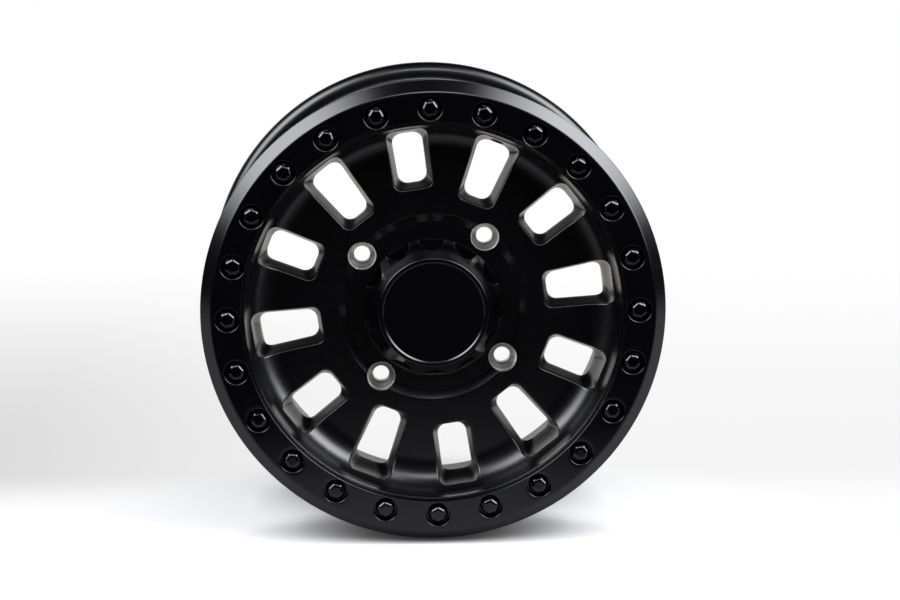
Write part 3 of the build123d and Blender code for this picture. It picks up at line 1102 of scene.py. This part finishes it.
# The points of the flute's wall stand over one another, so below them the flange's columns are spread out
wall_foot = len(flute_rows) - 1
wall_head = wall_foot + wall_columns + 1
flange_angles[wall_foot:wall_head] = between(flange_angles[wall_foot - 1], flange_angles[wall_head],
                                             wall_head - wall_foot + 1)[1:]
flange_rows = [flange_edge]
for inset, drop in ((0.3, 0.3), (0, 1)):
    radius = cap_flange_r - flange_edge_r * inset
    flange_rows.append([swung(complex(radius, point.y + flange_edge_r * drop), angle)
                        for point, angle in zip(flange_edge, flange_angles)])
cavity_y = cap_dish_y + cap_wall
cap_back_break = 0.3
cavity_edge_r = 0.6
cavity_bend_r = 1.5
cap_back = rounded_path(
    [complex(cap_flange_r, floor_y - cap_back_break), complex(cap_flange_r - cap_back_break, floor_y),
     complex(flute_floor_r - cap_wall, floor_y), complex(cap_disc_r - cap_wall, cavity_y),
     complex(0, cavity_y)], [0, cavity_edge_r, cavity_bend_r], margin=15)
flange_rows += [[swung(section, angle) for angle in flange_angles] for section in cap_back]
cone_end = flute_rows[0][floor_columns + wall_columns + edge_columns]
crown_r = hypot(cone_end.x, cone_end.z)
disc_edge_r = 1.2
disc_bend_r = 0.4
crown = rounded_path(
    [complex(crown_r, cone_y(crown_r)), complex(cap_disc_r, cap_disc_y), complex(cap_disc_r, cap_top),
     complex(cap_dish_r + cap_dish_y - cap_top, cap_top), complex(cap_dish_r, cap_dish_y),
     complex(0, cap_dish_y)], [disc_bend_r, disc_edge_r, disc_bend_r, disc_bend_r], margin=0.4)
crown_angles = through(0, flute_pitch / 2, cone_columns)
crown_rows = [[swung(section, angle) for angle in crown_angles] for section in crown]

cap_unit = bmesh.new()
for rows in (flute_rows, flange_rows, crown_rows):
    skin(cap_unit, rows)
    skin(cap_unit, [[Vector((point.x, point.y, -point.z)) for point in row] for row in rows])

# One snap leg: a strip of the cap's skirt with a barb that hooks behind the hub's bore
leg_r = cap_bore_r - 0.3
leg_inner_r = leg_r - 2.4
barb_r = leg_r + 1.6
barb_y = cap_hook_y + 0.3
leg_end = barb_y + 3.4
leg_half = radians(13.7)
leg_root = floor_y - 1
leg_break = 0.3
barb_t = 1.1
barb_break = 0.2
leg_steps = 10
leg_outline = [complex(leg_inner_r, leg_root), complex(leg_r, leg_root), complex(leg_r, barb_y - leg_break),
               complex(leg_r + leg_break, barb_y), complex(barb_r - barb_break, barb_y),
               complex(barb_r, barb_y + barb_break), complex(barb_r, barb_y + barb_t),
               complex(leg_r, leg_end - barb_break), complex(leg_r - barb_break, leg_end),
               complex(leg_inner_r + leg_break, leg_end), complex(leg_inner_r, leg_end - leg_break)]
leg_angles = through(-leg_half, leg_half, leg_steps)
leg_unit = bmesh.new()
leg_sections = [[swung(section, angle) for section in leg_outline] for angle in leg_angles]
skin(leg_unit, leg_sections, closed=True)
for section in (leg_sections[0], leg_sections[-1]):
    leg_unit.faces.new([leg_unit.verts.new(point * mm) for point in section])

# Moulded plastic from a polished mould: black, with a soft gloss on the cone and the disc's rim
cap_plastic = black_finish("Satin black moulded plastic", "#020203", "#030304", roughness=0.17, peel=0.006)
leg_count = 8
leg_pitch = 2 * pi / leg_count
cap_meshes = [set_round(cap_unit, flute_count, cap_turn, flute_pitch, cap_plastic),
              set_round(leg_unit, leg_count, cap_turn + leg_pitch / 2, leg_pitch, cap_plastic)]
make_piece("fluted_cap", "centre_cap", cap_meshes)


# Studio
# A sheet of white paper under the wheel, in a white room. A soft box stands in front at each side and a small
# one hangs overhead. The camera looks slightly down on the wheel's face.
target = Vector((0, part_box("beadlock_ring")[0][1], 0))
distance = 1.751
azimuth = radians(-1.894)
elevation = radians(10.585)
image_width = 900
image_height = 600
focal_pixels = 2007.3
target_pixel = (434.3, 315.3)
sight = Vector((sin(azimuth) * cos(elevation), -cos(azimuth) * cos(elevation), sin(elevation)))
eye = target + distance * sight
ahead = (target - eye).normalized()
right = ahead.cross(Vector((0, 0, 1))).normalized()
up = right.cross(ahead)
yaw = atan2(target_pixel[0] - image_width / 2, focal_pixels)
nod = atan2(image_height / 2 - target_pixel[1], focal_pixels)
right_turned = right * cos(yaw) + ahead * sin(yaw)
ahead_turned = ahead * cos(yaw) - right * sin(yaw)
up_turned = up * cos(nod) + ahead_turned * sin(nod)
ahead_turned = ahead_turned * cos(nod) - up * sin(nod)
camera_data = bpy.data.cameras.new("Camera")
camera_data.lens = focal_pixels / image_width * camera_data.sensor_width
camera = bpy.data.objects.new("Camera", camera_data)
axes = Matrix((right_turned, up_turned, -ahead_turned)).transposed()
camera.matrix_world = Matrix.Translation(eye) @ axes.to_4x4()
bpy.context.collection.objects.link(camera)
bpy.context.scene.camera = camera
bpy.context.scene.view_settings.view_transform = "Standard"


def soft_box(name, place, size, power):
    """Oval soft box that faces the wheel, brightest in its middle."""
    middle = (0.5, 0.5, 0)
    bright_r = 0.15
    dim_r = 0.54
    dim_level = 0.1
    light = bpy.data.lights.new(name, "AREA")
    light.shape = "ELLIPSE"
    light.size, light.size_y = size
    light.energy = power
    light.color = (0.93, 0.945, 1)
    light.use_nodes = True
    tree = light.node_tree
    spot = add_node(tree, "ShaderNodeNewGeometry").outputs["Parametric"]
    off_centre = add_node(tree, "ShaderNodeVectorMath", {0: spot, 1: middle}, operation="DISTANCE")
    fade = add_node(tree, "ShaderNodeMapRange",
                    {"Value": off_centre.outputs["Value"], "From Min": bright_r, "From Max": dim_r,
                     "To Min": 1, "To Max": dim_level}, interpolation_type="SMOOTHSTEP")
    tree.links.new(fade.outputs[0], tree.nodes["Emission"].inputs["Strength"])
    lamp = bpy.data.objects.new(name, light)
    lamp.location = place
    lamp.rotation_euler = (target - Vector(place)).to_track_quat("-Z", "Y").to_euler()
    bpy.context.collection.objects.link(lamp)


soft_box("Left soft box", place=(-1.16, -0.6, 1.1), size=(1.7, 1.9), power=98)
soft_box("Right soft box", place=(1.16, -0.58, 1.06), size=(1.7, 2.1), power=128)
soft_box("Overhead soft box", place=(0.05, -1.05, 1.35), size=(0.9, 0.6), power=12)

floor_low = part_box("wheel_casting")[0][2]
floor_half = 4
floor_bm = bmesh.new()
bmesh.ops.create_grid(floor_bm, x_segments=8, y_segments=8, size=floor_half)
bmesh.ops.translate(floor_bm, verts=floor_bm.verts, vec=(0, 0, floor_low))
floor = add_object("paper_floor", floor_bm)

# White paper: matt under the wheel, where it keeps the shadow, and glowing white away from it, with a faint
# painted grey band behind the wheel. In the coat's reflections the paper is painted darker, so the coat
# mirrors only the paper that is near it. Places are in metres.
paper, tree, shader = new_finish("White paper")
shader.inputs["Roughness"].default_value = 0.9
shader.inputs["Specular IOR Level"].default_value = 0
rays = add_node(tree, "ShaderNodeLightPath")
spot = add_node(tree, "ShaderNodeTexCoord").outputs["Object"]
place = add_node(tree, "ShaderNodeSeparateXYZ", {"Vector": spot})
across = add_node(tree, "ShaderNodeMath", {0: place.outputs["X"]}, operation="ABSOLUTE")
# Painted reflection: to glossy rays the paper is grey near the wheel and near black further in front; to
# other rays it is pale grey
mirror_far = -0.52
mirror_near = -0.08
nearness = add_node(tree, "ShaderNodeMapRange",
                    {"Value": place.outputs["Y"], "From Min": mirror_far, "From Max": mirror_near},
                    interpolation_type="SMOOTHSTEP")
mirrored = add_node(tree, "ShaderNodeMix",
                    {0: nearness.outputs[0], 6: linear("#080808"), 7: linear("#8c8c8c")}, data_type="RGBA")
paper_in_reflections = add_node(tree, "ShaderNodeMix",
                 {0: rays.outputs["Is Glossy Ray"], 6: linear("#dcdcdc"), 7: mirrored.outputs[2]},
                 data_type="RGBA")

# Painted contact shadow: where the wheel touches the paper, an occlusion test that leans to the front darkens
# the paper's colour towards near black
touch_reach = 0.08
touch_power = 2.5
lean = add_node(tree, "ShaderNodeCombineXYZ", {"Y": -0.8, "Z": 0.6})
open_air = add_node(tree, "ShaderNodeAmbientOcclusion",
                    {"Distance": touch_reach, "Normal": lean.outputs[0]}, samples=16)
touch = add_node(tree, "ShaderNodeMath", {0: open_air.outputs["AO"], 1: touch_power}, operation="POWER")
# Painted shadow: near-black paper where the occlusion test finds the wheel close
paper_with_painted_shadow = add_node(tree, "ShaderNodeMix",
                  {0: touch.outputs[0], 6: linear("#0c0c0c"), 7: paper_in_reflections.outputs[2]}, data_type="RGBA")
tree.links.new(paper_with_painted_shadow.outputs[2], shader.inputs["Base Color"])

# Painted shade: the paper's glow is dimmed in a grey band behind the wheel, darker at the left, which fades
# towards the back and the sides
band_start = 0.05
band_near = 0.2
band_far = 1.6
band_left = -0.44
band_right = -0.05
left_shade = 0.285
right_shade = 0.09
band_side = 0.7
band_side_end = 1.5
shade = add_node(tree, "ShaderNodeMapRange",
                 {"Value": place.outputs["X"], "From Min": band_left, "From Max": band_right,
                  "To Min": left_shade, "To Max": right_shade})
band_end = add_node(tree, "ShaderNodeMapRange",
                    {"Value": across.outputs[0], "From Min": band_side, "From Max": band_side_end,
                     "To Min": shade.outputs[0], "To Max": 0}, interpolation_type="SMOOTHSTEP")
band_edge = add_node(tree, "ShaderNodeMapRange",
                     {"Value": place.outputs["Y"], "From Min": band_start, "From Max": band_near},
                     interpolation_type="SMOOTHSTEP")
band = add_node(tree, "ShaderNodeMapRange",
                {"Value": place.outputs["Y"], "From Min": band_near, "From Max": band_far,
                 "To Min": band_edge.outputs[0], "To Max": 0}, interpolation_type="SMOOTHSTEP")
fall = add_node(tree, "ShaderNodeMath", {0: band_end.outputs[0], 1: band.outputs[0]}, operation="MULTIPLY")
glow = add_node(tree, "ShaderNodeMath", {0: 1.0, 1: fall.outputs[0]}, operation="SUBTRACT")
# Painted reflection: the glow is a shade warmer in the coat's reflections and in the light it sheds than to
# the eye
reflected_glow_tint = add_node(tree, "ShaderNodeMix",
                  {0: rays.outputs["Is Camera Ray"], 6: linear("#fffaf5"), 7: linear("#ffffff")},
                  data_type="RGBA")
paper_glow = add_node(tree, "ShaderNodeEmission", {"Color": reflected_glow_tint.outputs[2], "Strength": glow.outputs[0]})

# The paper glows, though it is no lamp: to the eye it shows white outside the wheel's shadow, where the
# painted contact shadow also dims its glow, and behind the wheel its glow lights the wheel
contact_level = 0.4
shadow_middle = (0, -0.15, floor_low)
shadow_r = 0.3
shadow_end_r = 0.45
contact = add_node(tree, "ShaderNodeMath", {0: touch.outputs[0], 1: contact_level}, operation="MULTIPLY")
off_wheel = add_node(tree, "ShaderNodeVectorMath", {0: spot, 1: shadow_middle}, operation="DISTANCE")
seen = add_node(tree, "ShaderNodeMapRange",
                {"Value": off_wheel.outputs["Value"], "From Min": shadow_r, "From Max": shadow_end_r,
                 "To Min": contact.outputs[0]}, interpolation_type="SMOOTHSTEP")
behind_side = 0.5
behind_side_end = 0.8
behind_start = 0.15
behind_full = 0.3
between_sides = add_node(tree, "ShaderNodeMapRange",
                         {"Value": across.outputs[0], "From Min": behind_side, "From Max": behind_side_end,
                          "To Min": 1, "To Max": 0}, interpolation_type="SMOOTHSTEP")
behind = add_node(tree, "ShaderNodeMapRange",
                  {"Value": place.outputs["Y"], "From Min": behind_start, "From Max": behind_full,
                   "To Max": between_sides.outputs[0]}, interpolation_type="SMOOTHSTEP")
lift = add_node(tree, "ShaderNodeMix",
                {0: rays.outputs["Is Camera Ray"], 2: behind.outputs[0], 3: seen.outputs[0]})
mixed = add_node(tree, "ShaderNodeMixShader", {0: lift.outputs[0], 1: shader.outputs[0], 2: paper_glow.outputs[0]})
tree.links.new(mixed.outputs[0], tree.nodes["Material Output"].inputs["Surface"])
floor.data.materials.append(paper)

# The room: white to the eye, dim as a light, and in the coat's reflections white only low down behind the
# wheel: a painted reflection of a bright backdrop that does not stand there. Its ranges are parts of a ray's
# direction.
dim_room = 0.005
backdrop_side = 0.6
backdrop_middle = 0.85
backdrop_low = 0.2
backdrop_high = 0.55
world = bpy.data.worlds.new("Studio")
world.use_nodes = True
bpy.context.scene.world = world
tree = world.node_tree
rays = add_node(tree, "ShaderNodeLightPath")
direction = add_node(tree, "ShaderNodeTexCoord").outputs["Generated"]
facing = add_node(tree, "ShaderNodeSeparateXYZ", {"Vector": direction})
backdrop_width = add_node(tree, "ShaderNodeMapRange",
                          {"Value": facing.outputs["Y"], "From Min": backdrop_side,
                           "From Max": backdrop_middle, "To Min": dim_room},
                          interpolation_type="SMOOTHSTEP")
painted_backdrop_reflection = add_node(tree, "ShaderNodeMapRange",
                    {"Value": facing.outputs["Z"], "From Min": backdrop_low, "From Max": backdrop_high,
                     "To Min": backdrop_width.outputs[0], "To Max": dim_room},
                    interpolation_type="SMOOTHSTEP")
mirrored = add_node(tree, "ShaderNodeMix",
                    {0: rays.outputs["Is Glossy Ray"], 2: dim_room, 3: painted_backdrop_reflection.outputs[0]})
straight = add_node(tree, "ShaderNodeMath",
                    {0: rays.outputs["Is Camera Ray"], 1: rays.outputs["Is Transmission Ray"]},
                    operation="MAXIMUM")
level = add_node(tree, "ShaderNodeMix", {0: straight.outputs[0], 2: mirrored.outputs[0], 3: 1.0})
background = tree.nodes["Background"]
background.inputs["Color"].default_value = linear("#ffffff")
tree.links.new(level.outputs[0], background.inputs["Strength"])
